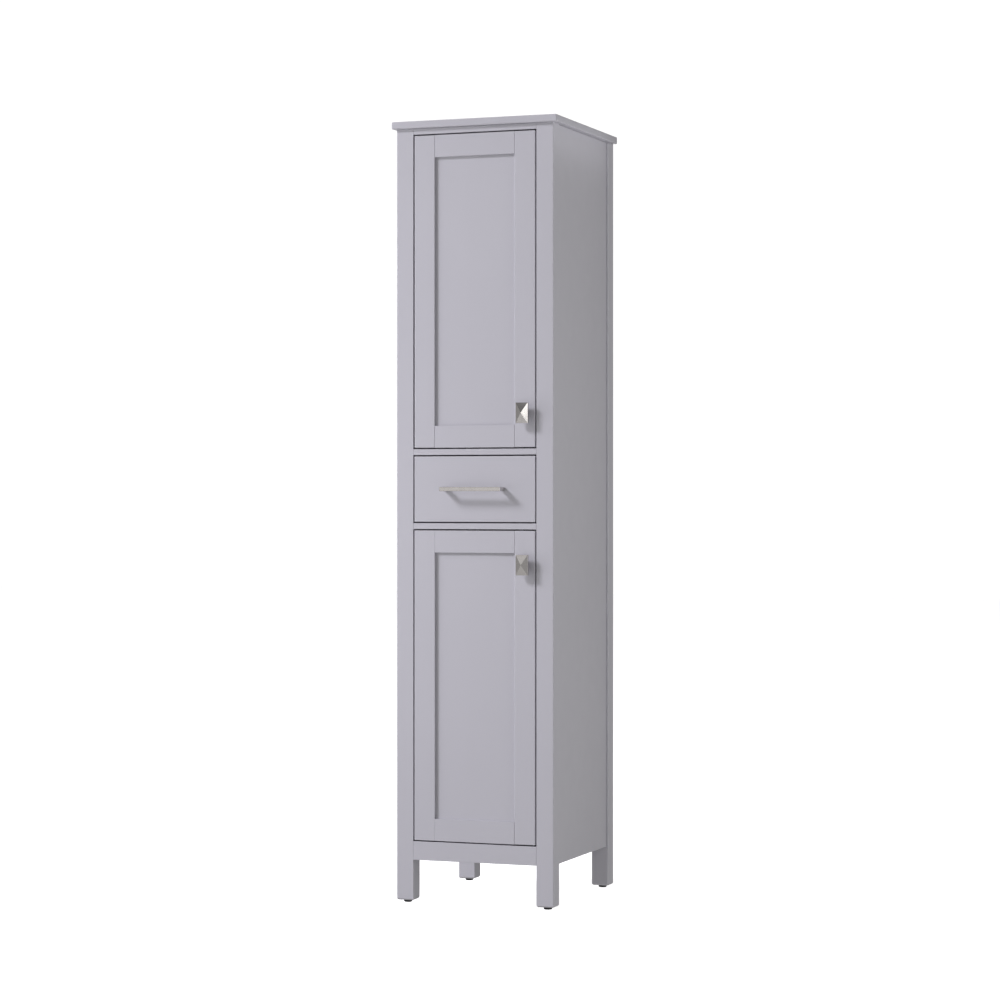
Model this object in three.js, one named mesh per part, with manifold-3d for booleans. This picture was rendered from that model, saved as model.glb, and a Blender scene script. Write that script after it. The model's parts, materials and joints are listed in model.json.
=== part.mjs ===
// Tall pantry cabinet: four corner posts, an inset door above and below one drawer.
// Millimetres, +Z up. While it is being built, x = 0 is the middle of the cabinet, y = 0 is the
// front face of the posts (the doors are flush with it), +Y runs to the back and z = 0 is the floor.
// The whole group is then shifted along Y, so that the origin is the middle of its footprint.
import * as THREE from 'three';
import { ConvexGeometry } from 'three/addons/geometries/ConvexGeometry.js';
import { mergeVertices } from 'three/addons/utils/BufferGeometryUtils.js';
import Module from 'manifold-3d';

const wasm = await Module();
wasm.setup();

// ---------------------------------------------------------------- overall
const HEIGHT = 1778;
const BODY_WIDTH = 380;
const BODY_DEPTH = 424;
const GLUE_GAP = 0.2;
const REVEAL = 3;

// ---------------------------------------------------------------- top slab and posts
const TOP_THICKNESS = 16.5;
const TOP_SIDE_OVERHANG = 9.5;
const TOP_FRONT_OVERHANG = 8;
const POST_WIDTH = 41;
const POST_DEPTH = 39;
const POST_FOOT_CHAMFER = 3;

// ---------------------------------------------------------------- carcass boards
const SIDE_THICKNESS = 15;
const SIDE_RECESS = 5;
const BACK_THICKNESS = 6;
const BACK_RECESS = 3;
const UNDERSIDE_HEIGHT = 98.5;
const RAIL_THICKNESS = 18;
const BOTTOM_RAIL_HEIGHT = 42.5;
const BOTTOM_PANEL_THICKNESS = 15;
const DIVIDER_THICKNESS = 13.5;
const ANCHOR_RAIL_HEIGHT = 60;
const SHELF_THICKNESS = 15;
const SHELF_CLEARANCE = 1;
const SHELF_SETBACK = 6;
const UPPER_SHELF_RISE = 340;
const LOWER_SHELF_RISE = 340;

// ---------------------------------------------------------------- doors
const LOWER_DOOR_HEIGHT = 704;
const DOOR_THICKNESS = 18;
const DOOR_RAIL_WIDTH = 50;
const PANEL_THICKNESS = 6;
const PANEL_RECESS = 6;
const GROOVE_DEPTH = 8.5;
const TONGUE_LENGTH = 8;
const GROOVE_CLEARANCE = 0.2;

// ---------------------------------------------------------------- concealed hinges
const HINGE_END_DISTANCE = 90;
const CUP_RADIUS = 17.3;
const CUP_DEPTH = 11.6;
const CUP_WALL = 1.4;
const CUP_EDGE_DISTANCE = 3.7;
const CUP_BORE_CLEARANCE = 0.4;
const CUP_TO_GROOVE_WALL = 2.4;
const FLANGE_THICKNESS = 1.2;
const FLANGE_HEIGHT = 48;
const FLANGE_EDGE_DISTANCE = 3.2;
const LINK_PIVOT_INSET = 3;
const LINK_PIVOT_BEHIND_DOOR = 5;
const LINK_THICKNESS = 2.2;
const LINK_WIDTH = 11;
const LINK_EYE_RADIUS = 2.6;
const LINK_TIP_RADIUS = 1.6;
const LINK_PIN_RADIUS = 1.2;
const LINK_PIN_CLEARANCE = 0.35;
const LINK_BEND = [41, 20];
const LINK_TIP = [28, -13];
const LINK_CURVE_STEPS = 10;
const HINGE_PLATE_THICKNESS = 1.8;
const HINGE_PLATE_HEIGHT = 44;
const HINGE_PLATE_DEPTH = 16;
const HINGE_PLATE_REAR_SETBACK = 1;
const HINGE_EAR_THICKNESS = 1.6;
const HINGE_EAR_RADIUS = 2.8;
const HINGE_EAR_CLEARANCE = 0.4;

// ---------------------------------------------------------------- drawer and its runners
const DRAWER_FRONT_HEIGHT = 148.5;
const DRAWER_FRONT_THICKNESS = 18;
const DRAWER_BOX_HEIGHT = 115;
const DRAWER_BOX_RISE = 10;
const DRAWER_REAR_CLEARANCE = 46.8;
const DRAWER_BOARD = 12;
const DRAWER_BOTTOM_THICKNESS = 5;
const DRAWER_BOTTOM_RISE = 10;
const DRAWER_GROOVE_DEPTH = 6;
const DRAWER_BACK_DROP = 6;
const RUNNER_SPACE = 12.7;
const RUNNER_SHEET = 1.2;
const RUNNER_SETBACK = 3;
const RUNNER_REAR_SETBACK = 2;
const OUTER_RUNNER_HEIGHT = 45;
const OUTER_RUNNER_REACH = 9;
const MIDDLE_RUNNER_HEIGHT = 37;
const MIDDLE_RUNNER_START = 3;
const MIDDLE_RUNNER_REACH = 10;
const INNER_RUNNER_HEIGHT = 29;
const INNER_RUNNER_START = 6;
const CLEAT_HEIGHT = 60;

// ---------------------------------------------------------------- knobs, pull and feet
const KNOB_WIDTH = 28.5;
const KNOB_HEIGHT = 46;
const KNOB_BASE_STANDOFF = 13;
const KNOB_WALL = 7;
const KNOB_POINT = 7;
const KNOB_STEM_RADIUS = 6;
const KNOB_STEM_SEAT = 1;
const KNOB_END_DISTANCE = 76.5;
const PULL_LENGTH = 146;
const PULL_HEIGHT = 9.5;
const PULL_REACH = 32;
const PULL_BAR = 6;
const PULL_LEG = 8;
const PULL_FLARE = 3;
const FOOT_HEIGHT = 6;
const FOOT_PAD_RADIUS = 9.5;
const FOOT_RIM = 1;
const FOOT_STUD_RADIUS = 3;
const FOOT_STUD_LENGTH = 26;
const FOOT_BORE_CLEARANCE = 0.4;
const FOOT_BORE_SPARE_DEPTH = 4;
const ROUND_SEGMENTS = 24;
const CUT_OVERRUN = 1;

// ---------------------------------------------------------------- lines that pieces share
const halfWidth = BODY_WIDTH / 2;
const openingHalf = halfWidth - POST_WIDTH;
const sideOuter = halfWidth - SIDE_RECESS;
const sideInner = sideOuter - SIDE_THICKNESS;
const rearPostFront = BODY_DEPTH - POST_DEPTH;
const backOuter = BODY_DEPTH - BACK_RECESS;
const backInner = backOuter - BACK_THICKNESS;
const topUnderside = HEIGHT - TOP_THICKNESS;

const bottomRailTop = UNDERSIDE_HEIGHT + BOTTOM_RAIL_HEIGHT;
const lowerDoorBottom = bottomRailTop + REVEAL;
const lowerDoorTop = lowerDoorBottom + LOWER_DOOR_HEIGHT;
const lowerDividerBottom = lowerDoorTop + REVEAL;
const lowerDividerTop = lowerDividerBottom + DIVIDER_THICKNESS;
const drawerFrontBottom = lowerDividerTop + REVEAL;
const drawerFrontTop = drawerFrontBottom + DRAWER_FRONT_HEIGHT;
const upperDividerBottom = drawerFrontTop + REVEAL;
const upperDividerTop = upperDividerBottom + DIVIDER_THICKNESS;
const upperDoorBottom = upperDividerTop + REVEAL;
const subTopBottom = topUnderside - GLUE_GAP - DIVIDER_THICKNESS;
const upperDoorTop = subTopBottom - REVEAL;

const doorHalf = openingHalf - REVEAL;
const cupBoreRadius = CUP_RADIUS + CUP_BORE_CLEARANCE;
const cupCentreX = CUP_EDGE_DISTANCE + CUP_RADIUS - doorHalf;
const stileWidth = doorHalf + cupCentreX + cupBoreRadius + CUP_TO_GROOVE_WALL + GROOVE_DEPTH;
const stileInner = doorHalf - stileWidth;
const panelBack = PANEL_RECESS + PANEL_THICKNESS;

// ---------------------------------------------------------------- materials
const paintedWood = new THREE.MeshStandardMaterial({ color: 0xb7b5be, roughness: 0.5, metalness: 0 });
const birch = new THREE.MeshStandardMaterial({ color: 0xd9c29a, roughness: 0.55, metalness: 0 });
const satinNickel = new THREE.MeshStandardMaterial({ color: 0xb4aea6, roughness: 0.3, metalness: 1 });
const platedSteel = new THREE.MeshStandardMaterial({ color: 0xc4c6c8, roughness: 0.35, metalness: 1 });
const blackPlastic = new THREE.MeshStandardMaterial({ color: 0x151515, roughness: 0.6, metalness: 0 });

// ---------------------------------------------------------------- shape helpers
function toSolid(geometry) {
  const bare = geometry.index ? geometry.toNonIndexed() : geometry.clone();
  bare.deleteAttribute('normal');
  bare.deleteAttribute('uv');
  const welded = mergeVertices(bare, 1e-4);
  const mesh = new wasm.Mesh({
    numProp: 3,
    vertProperties: new Float32Array(welded.attributes.position.array),
    triVerts: new Uint32Array(welded.index.array),
  });
  return new wasm.Manifold(mesh);
}

function toGeometry(solid) {
  const mesh = solid.getMesh();
  const geometry = new THREE.BufferGeometry();
  geometry.setAttribute('position', new THREE.BufferAttribute(mesh.vertProperties, mesh.numProp));
  geometry.setIndex(new THREE.BufferAttribute(mesh.triVerts, 1));
  geometry.computeVertexNormals();
  return geometry;
}

// A box between two corners.
function block([x0, x1], [y0, y1], [z0, z1]) {
  const geometry = new THREE.BoxGeometry(x1 - x0, y1 - y0, z1 - z0);
  return geometry.translate((x0 + x1) / 2, (y0 + y1) / 2, (z0 + z1) / 2);
}

// An outline in plan, given as [x, y] points, raised from z0 to z1.
function raised(points, z0, z1) {
  const shape = new THREE.Shape(points.map(([x, y]) => new THREE.Vector2(x, y)));
  const geometry = new THREE.ExtrudeGeometry(shape, { depth: z1 - z0, bevelEnabled: false });
  return geometry.translate(0, 0, z0);
}

// An outline seen from the front, given as [x, z] points, carried back from y0 to y1.
function carriedBack(points, y0, y1) {
  const geometry = raised(points, -y1, -y0);
  return geometry.rotateX(Math.PI / 2);
}

// An outline seen from the side, given as [y, z] points, carried across from x0 to x1.
function carriedAcross(points, x0, x1) {
  const geometry = raised(points, x0, x1);
  return geometry.rotateY(Math.PI / 2).rotateX(Math.PI / 2);
}

function uprightRod([x, y], radius, z0, z1) {
  const geometry = new THREE.CylinderGeometry(radius, radius, z1 - z0, ROUND_SEGMENTS);
  return geometry.rotateX(Math.PI / 2).translate(x, y, (z0 + z1) / 2);
}

function levelRod([x, z], radius, y0, y1) {
  const geometry = new THREE.CylinderGeometry(radius, radius, y1 - y0, ROUND_SEGMENTS);
  return geometry.translate(x, (y0 + y1) / 2, z);
}

function join(...geometries) {
  return toGeometry(geometries.map(toSolid).reduce((whole, piece) => whole.add(piece)));
}

function cut(geometry, ...tools) {
  return toGeometry(tools.map(toSolid).reduce((whole, tool) => whole.subtract(tool), toSolid(geometry)));
}

const cabinet = new THREE.Group();

function add(parent, name, geometry, material) {
  const mesh = new THREE.Mesh(geometry, material);
  mesh.name = name;
  parent.add(mesh);
  return mesh;
}

// Both members of a mirrored pair, named left (-X) and right (+X); make gets -1 or +1.
function addPair(parent, name, make, material) {
  add(parent, `${name}_left`, make(-1), material);
  add(parent, `${name}_right`, make(1), material);
}

// The span from a to b on one side of the cabinet, in rising order.
function sideSpan(side, a, b) {
  return side < 0 ? [-b, -a] : [a, b];
}

// ---------------------------------------------------------------- posts and feet
const footCentreX = halfWidth - POST_WIDTH / 2;
const footCentreFront = POST_DEPTH / 2;
const footCentreRear = BODY_DEPTH - POST_DEPTH / 2;

function post(side, y0) {
  const length = topUnderside - GLUE_GAP - FOOT_HEIGHT;
  const geometry = new THREE.BoxGeometry(POST_WIDTH, POST_DEPTH, length, 1, 1, 2);
  const corners = geometry.attributes.position;
  for (let i = 0; i < corners.count; i += 1) {
    const z = corners.getZ(i);
    if (z < -length / 4) {
      corners.setX(i, corners.getX(i) * (1 - 2 * POST_FOOT_CHAMFER / POST_WIDTH));
      corners.setY(i, corners.getY(i) * (1 - 2 * POST_FOOT_CHAMFER / POST_DEPTH));
    } else if (z < length / 4) {
      corners.setZ(i, POST_FOOT_CHAMFER - length / 2);
    }
  }
  geometry.translate(side * footCentreX, y0 + POST_DEPTH / 2, FOOT_HEIGHT + length / 2);
  const bore = uprightRod(
    [side * footCentreX, y0 + POST_DEPTH / 2],
    FOOT_STUD_RADIUS + FOOT_BORE_CLEARANCE,
    0,
    FOOT_HEIGHT + FOOT_STUD_LENGTH + FOOT_BORE_SPARE_DEPTH,
  );
  return cut(geometry, bore);
}

function foot(side, y) {
  const padTop = FOOT_HEIGHT - GLUE_GAP;
  const profile = [
    [0, 0],
    [FOOT_PAD_RADIUS - FOOT_RIM, 0],
    [FOOT_PAD_RADIUS, FOOT_RIM],
    [FOOT_PAD_RADIUS, padTop],
    [FOOT_STUD_RADIUS, padTop],
    [FOOT_STUD_RADIUS, FOOT_HEIGHT + FOOT_STUD_LENGTH],
    [0, FOOT_HEIGHT + FOOT_STUD_LENGTH],
  ];
  const turned = new THREE.LatheGeometry(profile.map(([r, z]) => new THREE.Vector2(r, z)), ROUND_SEGMENTS);
  turned.rotateX(Math.PI / 2).translate(side * footCentreX, y, 0);
  return toGeometry(toSolid(turned));
}

function addPostsAndFeet() {
  addPair(cabinet, 'post_front', (side) => post(side, 0), paintedWood);
  addPair(cabinet, 'post_rear', (side) => post(side, rearPostFront), paintedWood);
  addPair(cabinet, 'levelling_foot_front', (side) => foot(side, footCentreFront), blackPlastic);
  addPair(cabinet, 'levelling_foot_rear', (side) => foot(side, footCentreRear), blackPlastic);
}

// ---------------------------------------------------------------- carcass
// A horizontal board that fills the inside of the cabinet and is notched round the posts.
function notchedBoard(front, back, z0, z1, fit) {
  const tongue = openingHalf - fit;
  const full = sideInner - fit;
  const frontStep = POST_DEPTH + fit;
  const backStep = rearPostFront - fit;
  const frontEdge = front < frontStep
    ? [[tongue, front], [tongue, frontStep], [full, frontStep]]
    : [[full, front]];
  const rightHalf = [...frontEdge, [full, backStep], [tongue, backStep], [tongue, back]];
  const leftHalf = rightHalf.map(([x, y]) => [-x, y]).reverse();
  return raised([...rightHalf, ...leftHalf], z0, z1);
}

function addCarcass() {
  const slabHalf = halfWidth + TOP_SIDE_OVERHANG;
  const slab = block([-slabHalf, slabHalf], [-TOP_FRONT_OVERHANG, BODY_DEPTH], [topUnderside, HEIGHT]);
  add(cabinet, 'top_panel', slab, paintedWood);

  const upright = [UNDERSIDE_HEIGHT, topUnderside - GLUE_GAP];
  const betweenPosts = [POST_DEPTH + GLUE_GAP, rearPostFront - GLUE_GAP];
  const sidePanel = (side) => block(sideSpan(side, sideInner, sideOuter), betweenPosts, upright);
  addPair(cabinet, 'side_panel', sidePanel, paintedWood);

  const acrossOpening = [GLUE_GAP - openingHalf, openingHalf - GLUE_GAP];
  add(cabinet, 'back_panel', block(acrossOpening, [backInner, backOuter], upright), paintedWood);

  const boardBack = backInner - GLUE_GAP;
  const board = (front, z0, thickness) => notchedBoard(front, boardBack, z0, z0 + thickness, GLUE_GAP);
  add(cabinet, 'sub_top', board(0, subTopBottom, DIVIDER_THICKNESS), paintedWood);
  add(cabinet, 'upper_divider', board(0, upperDividerBottom, DIVIDER_THICKNESS), paintedWood);
  add(cabinet, 'lower_divider', board(0, lowerDividerBottom, DIVIDER_THICKNESS), paintedWood);

  const bottomPanelZ = bottomRailTop - BOTTOM_PANEL_THICKNESS;
  const bottomFront = RAIL_THICKNESS + GLUE_GAP;
  add(cabinet, 'bottom_panel', board(bottomFront, bottomPanelZ, BOTTOM_PANEL_THICKNESS), paintedWood);
  const bottomRail = block(acrossOpening, [0, RAIL_THICKNESS], [UNDERSIDE_HEIGHT, bottomRailTop]);
  add(cabinet, 'bottom_rail', bottomRail, paintedWood);

  const rearRail = [boardBack - RAIL_THICKNESS, boardBack];
  const rearBottomSpan = [UNDERSIDE_HEIGHT, bottomPanelZ - GLUE_GAP];
  add(cabinet, 'rear_bottom_rail', block(acrossOpening, rearRail, rearBottomSpan), paintedWood);
  const anchorSpan = [subTopBottom - GLUE_GAP - ANCHOR_RAIL_HEIGHT, subTopBottom - GLUE_GAP];
  add(cabinet, 'anchor_rail', block(acrossOpening, rearRail, anchorSpan), paintedWood);
}

function addShelves() {
  const front = POST_DEPTH + SHELF_SETBACK;
  const back = backInner - SHELF_CLEARANCE;
  const shelf = (z0) => notchedBoard(front, back, z0, z0 + SHELF_THICKNESS, SHELF_CLEARANCE);
  add(cabinet, 'upper_shelf', shelf(upperDividerTop + UPPER_SHELF_RISE), paintedWood);
  add(cabinet, 'lower_shelf', shelf(bottomRailTop + LOWER_SHELF_RISE), paintedWood);
}

// ---------------------------------------------------------------- doors
const grooveFront = PANEL_RECESS - GROOVE_CLEARANCE;
const grooveBack = panelBack + GROOVE_CLEARANCE;

// A stile in plan: a rectangle with the panel groove along its inner edge.
function stile(side, z0, z1) {
  const outline = [
    [doorHalf, 0],
    [doorHalf, DOOR_THICKNESS],
    [stileInner, DOOR_THICKNESS],
    [stileInner, grooveBack],
    [stileInner + GROOVE_DEPTH, grooveBack],
    [stileInner + GROOVE_DEPTH, grooveFront],
    [stileInner, grooveFront],
    [stileInner, 0],
  ];
  const turned = side > 0 ? outline : outline.map(([x, y]) => [-x, y]).reverse();
  return raised(turned, z0, z1);
}

// The left stile is bored from behind for the cup of each hinge.
function boredStile(z0, z1, hingeHeights) {
  const bore = (z) => levelRod(
    [cupCentreX, z],
    cupBoreRadius,
    DOOR_THICKNESS - CUP_DEPTH - CUP_BORE_CLEARANCE,
    DOOR_THICKNESS + CUT_OVERRUN,
  );
  return cut(stile(-1, z0, z1), ...hingeHeights.map(bore));
}

// A rail with the panel groove along its inner edge and a stub tenon into each stile.
function rail(outerZ, innerZ) {
  const inward = Math.sign(innerZ - outerZ);
  const grooveFloor = innerZ - inward * GROOVE_DEPTH;
  const outline = [
    [0, outerZ],
    [DOOR_THICKNESS, outerZ],
    [DOOR_THICKNESS, innerZ],
    [grooveBack, innerZ],
    [grooveBack, grooveFloor],
    [grooveFront, grooveFloor],
    [grooveFront, innerZ],
    [0, innerZ],
  ];
  const railHalf = stileInner - GLUE_GAP;
  const bar = carriedAcross(outline, -railHalf, railHalf);
  const tenonHalf = stileInner + TONGUE_LENGTH;
  const tenonZ = [outerZ, grooveFloor].sort((a, b) => a - b);
  const tenon = block([-tenonHalf, tenonHalf], [PANEL_RECESS, panelBack], tenonZ);
  return join(bar, tenon);
}

// A round stem that carries a rectangular head, whose front rises to a point in four facets.
function knob(x, z) {
  const headBack = -KNOB_BASE_STANDOFF;
  const headFront = headBack - KNOB_WALL;
  const corners = [new THREE.Vector3(x, headFront - KNOB_POINT, z)];
  for (const cornerX of [x - KNOB_WIDTH / 2, x + KNOB_WIDTH / 2]) {
    for (const cornerZ of [z - KNOB_HEIGHT / 2, z + KNOB_HEIGHT / 2]) {
      corners.push(new THREE.Vector3(cornerX, headFront, cornerZ));
      corners.push(new THREE.Vector3(cornerX, headBack, cornerZ));
    }
  }
  const stem = levelRod([x, z], KNOB_STEM_RADIUS, headBack - KNOB_STEM_SEAT, -GLUE_GAP);
  return join(new ConvexGeometry(corners), stem);
}

function addDoor(name, z0, z1, knobZ) {
  const door = new THREE.Group();
  const hinges = { bottom: z0 + HINGE_END_DISTANCE, top: z1 - HINGE_END_DISTANCE };
  add(door, `${name}_stile_left`, boredStile(z0, z1, Object.values(hinges)), paintedWood);
  add(door, `${name}_stile_right`, stile(1, z0, z1), paintedWood);
  add(door, `${name}_rail_top`, rail(z1, z1 - DOOR_RAIL_WIDTH), paintedWood);
  add(door, `${name}_rail_bottom`, rail(z0, z0 + DOOR_RAIL_WIDTH), paintedWood);
  const panelHalf = stileInner + TONGUE_LENGTH;
  const panelInset = DOOR_RAIL_WIDTH - TONGUE_LENGTH;
  const panelZ = [z0 + panelInset, z1 - panelInset];
  const panel = block([-panelHalf, panelHalf], [PANEL_RECESS, panelBack], panelZ);
  add(door, `${name}_panel`, panel, paintedWood);
  add(door, `${name}_knob`, knob(doorHalf - stileWidth / 2, knobZ), satinNickel);
  for (const [place, z] of Object.entries(hinges)) {
    add(door, `${name}_hinge_cup_${place}`, hingeCup(z), platedSteel);
    add(cabinet, `${name}_hinge_arm_${place}`, hingeArm(z), platedSteel);
    add(cabinet, `${name}_hinge_link_${place}`, hingeLink(z), platedSteel);
  }
  cabinet.add(door);
}

// ---------------------------------------------------------------- hinges
// The cup is pressed into the door, the arm is screwed to the post, and a curved link on the
// arm's pin reaches round the edge of the door into the cup.
const linkPivot = [-doorHalf + LINK_PIVOT_INSET, DOOR_THICKNESS + LINK_PIVOT_BEHIND_DOOR];

function hingeCup(z) {
  const seat = DOOR_THICKNESS + GLUE_GAP;
  const floor = DOOR_THICKNESS - CUP_DEPTH;
  const flangeLeft = -doorHalf + FLANGE_EDGE_DISTANCE;
  const flangeSpan = [flangeLeft, 2 * cupCentreX - flangeLeft];
  const flangeZ = [z - FLANGE_HEIGHT / 2, z + FLANGE_HEIGHT / 2];
  const flange = block(flangeSpan, [seat, seat + FLANGE_THICKNESS], flangeZ);
  const centre = [cupCentreX, z];
  const barrel = levelRod(centre, CUP_RADIUS, floor, seat + FLANGE_THICKNESS / 2);
  const hollowBack = seat + FLANGE_THICKNESS + CUT_OVERRUN;
  const hollow = levelRod(centre, CUP_RADIUS - CUP_WALL, floor + CUP_WALL, hollowBack);
  return cut(join(flange, barrel), hollow);
}

function hingeArm(z) {
  const face = -openingHalf + GLUE_GAP;
  const plateBack = POST_DEPTH - HINGE_PLATE_REAR_SETBACK;
  const plateY = [plateBack - HINGE_PLATE_DEPTH, plateBack];
  const plateZ = [z - HINGE_PLATE_HEIGHT / 2, z + HINGE_PLATE_HEIGHT / 2];
  const plate = block([face, face + HINGE_PLATE_THICKNESS], plateY, plateZ);
  const earInner = LINK_WIDTH / 2 + HINGE_EAR_CLEARANCE;
  const earOuter = earInner + HINGE_EAR_THICKNESS;
  const [px, py] = linkPivot;
  const earOutline = [
    [face, py],
    [px, py - HINGE_EAR_RADIUS],
    [px + HINGE_EAR_RADIUS, py],
    [face, py + 2 * HINGE_EAR_RADIUS],
  ];
  const pieces = [uprightRod(linkPivot, LINK_PIN_RADIUS, z - earOuter, z + earOuter)];
  for (const [z0, z1] of [[z - earOuter, z - earInner], [z + earInner, z + earOuter]]) {
    pieces.push(uprightRod(linkPivot, HINGE_EAR_RADIUS, z0, z1));
    pieces.push(raised(earOutline, z0, z1));
  }
  return join(plate, ...pieces);
}

function hingeLink(z) {
  const pivot = new THREE.Vector2(...linkPivot);
  const bend = new THREE.Vector2(...LINK_BEND).add(pivot);
  const tip = new THREE.Vector2(...LINK_TIP).add(pivot);
  const curve = new THREE.QuadraticBezierCurve(pivot, bend, tip);
  const nearEdge = [];
  const farEdge = [];
  for (let i = 0; i <= LINK_CURVE_STEPS; i += 1) {
    const along = i / LINK_CURVE_STEPS;
    const centre = curve.getPoint(along);
    const across = curve.getTangent(along).rotateAround(new THREE.Vector2(), Math.PI / 2);
    across.multiplyScalar(LINK_THICKNESS / 2);
    nearEdge.push([centre.x + across.x, centre.y + across.y]);
    farEdge.unshift([centre.x - across.x, centre.y - across.y]);
  }
  const z0 = z - LINK_WIDTH / 2;
  const z1 = z + LINK_WIDTH / 2;
  const strap = raised([...nearEdge, ...farEdge], z0, z1);
  const eye = uprightRod(linkPivot, LINK_EYE_RADIUS, z0, z1);
  const knuckle = uprightRod([tip.x, tip.y], LINK_TIP_RADIUS, z0, z1);
  const holeRadius = LINK_PIN_RADIUS + LINK_PIN_CLEARANCE;
  const pinHole = uprightRod(linkPivot, holeRadius, z0 - CUT_OVERRUN, z1 + CUT_OVERRUN);
  return cut(join(strap, eye, knuckle), pinHole);
}

// ---------------------------------------------------------------- drawer
const drawerSideOuter = openingHalf - RUNNER_SPACE;
const drawerSideInner = drawerSideOuter - DRAWER_BOARD;
const boxBottom = drawerFrontBottom + DRAWER_BOX_RISE;
const boxTop = boxBottom + DRAWER_BOX_HEIGHT;
const boxFront = DRAWER_FRONT_THICKNESS + GLUE_GAP;
const boxBack = backInner - DRAWER_REAR_CLEARANCE;
const trayBottom = boxBottom + DRAWER_BOTTOM_RISE;
const trayTop = trayBottom + DRAWER_BOTTOM_THICKNESS;
const runnerZ = (boxBottom + boxTop) / 2;

// A drawer side seen from the front, with the groove that holds the bottom.
function drawerSide(side) {
  const grooveX = drawerSideInner + DRAWER_GROOVE_DEPTH;
  const outline = [
    [drawerSideOuter, boxBottom],
    [drawerSideOuter, boxTop],
    [drawerSideInner, boxTop],
    [drawerSideInner, trayTop + GROOVE_CLEARANCE],
    [grooveX, trayTop + GROOVE_CLEARANCE],
    [grooveX, trayBottom - GROOVE_CLEARANCE],
    [drawerSideInner, trayBottom - GROOVE_CLEARANCE],
    [drawerSideInner, boxBottom],
  ];
  const turned = side > 0 ? outline : outline.map(([x, z]) => [-x, z]).reverse();
  return carriedBack(turned, boxFront, boxBack);
}

// A flat bar bent back to the drawer at both ends, in plan.
function pull() {
  const barHalf = PULL_LENGTH / 2;
  const innerTop = barHalf - PULL_BAR;
  const innerFoot = barHalf - PULL_LEG;
  const rightHalf = [
    [barHalf, -GLUE_GAP],
    [innerFoot, -GLUE_GAP],
    [innerTop - PULL_FLARE, PULL_BAR - PULL_REACH],
  ];
  const leftHalf = rightHalf.map(([x, y]) => [-x, y]).reverse();
  const front = [[-barHalf, -PULL_REACH], [barHalf, -PULL_REACH]];
  const z = (drawerFrontBottom + drawerFrontTop) / 2;
  return raised([...rightHalf, ...leftHalf, ...front], z - PULL_HEIGHT / 2, z + PULL_HEIGHT / 2);
}

function addDrawer() {
  const drawer = new THREE.Group();
  const frontZ = [drawerFrontBottom, drawerFrontTop];
  const face = block([-doorHalf, doorHalf], [0, DRAWER_FRONT_THICKNESS], frontZ);
  add(drawer, 'drawer_front', face, paintedWood);
  addPair(drawer, 'drawer_side', drawerSide, birch);
  const backHalf = drawerSideInner - GLUE_GAP;
  const backY = [boxBack - DRAWER_BOARD, boxBack];
  const backZ = [trayTop + GLUE_GAP, boxTop - DRAWER_BACK_DROP];
  add(drawer, 'drawer_back', block([-backHalf, backHalf], backY, backZ), birch);
  const trayHalf = drawerSideInner + DRAWER_GROOVE_DEPTH - GROOVE_CLEARANCE;
  const tray = block([-trayHalf, trayHalf], [boxFront, boxBack], [trayBottom, trayTop]);
  add(drawer, 'drawer_bottom', tray, birch);
  add(drawer, 'drawer_pull', pull(), satinNickel);
  const inner = (side) => channel(side, RUNNER_SPACE - GLUE_GAP, INNER_RUNNER_START, INNER_RUNNER_HEIGHT);
  addPair(drawer, 'runner_inner', inner, platedSteel);
  cabinet.add(drawer);
}

// ---------------------------------------------------------------- runners
// A folded steel channel. Distances run from the post towards the drawer: the web stands at
// one of them and the flanges reach to the other.
function channel(side, web, reach, height) {
  const inward = Math.sign(reach - web);
  const webInner = web + inward * RUNNER_SHEET;
  const half = height / 2;
  const lip = half - RUNNER_SHEET;
  const section = [[web, half], [reach, half], [reach, lip], [webInner, lip]];
  const mirrored = section.map(([s, z]) => [s, -z]).reverse();
  const outline = [...section, ...mirrored].map(([s, z]) => [side * (openingHalf - s), runnerZ + z]);
  const front = boxFront + RUNNER_SETBACK;
  const clockwise = THREE.ShapeUtils.isClockWise(outline.map(([x, y]) => new THREE.Vector2(x, y)));
  return carriedBack(clockwise ? outline.reverse() : outline, front, boxBack - RUNNER_REAR_SETBACK);
}

function addRunners() {
  const outer = (side) => channel(side, GLUE_GAP, OUTER_RUNNER_REACH, OUTER_RUNNER_HEIGHT);
  const middle = (side) => channel(side, MIDDLE_RUNNER_START, MIDDLE_RUNNER_REACH, MIDDLE_RUNNER_HEIGHT);
  addPair(cabinet, 'runner_outer', outer, platedSteel);
  addPair(cabinet, 'runner_middle', middle, platedSteel);
  const cleatY = [POST_DEPTH + GLUE_GAP, rearPostFront - GLUE_GAP];
  const cleatZ = [runnerZ - CLEAT_HEIGHT / 2, runnerZ + CLEAT_HEIGHT / 2];
  const cleat = (side) => block(sideSpan(side, openingHalf, sideInner - GLUE_GAP), cleatY, cleatZ);
  addPair(cabinet, 'runner_cleat', cleat, paintedWood);
}

// ---------------------------------------------------------------- assembly
addPostsAndFeet();
addCarcass();
addShelves();
addDoor('upper_door', upperDoorBottom, upperDoorTop, upperDoorBottom + KNOB_END_DISTANCE);
addDoor('lower_door', lowerDoorBottom, lowerDoorTop, lowerDoorTop - KNOB_END_DISTANCE);
addDrawer();
addRunners();
cabinet.position.y = (PULL_REACH - BODY_DEPTH) / 2;

export default cabinet;
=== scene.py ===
import json
import math

import bmesh
import bpy
from mathutils import Matrix, Vector


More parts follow.
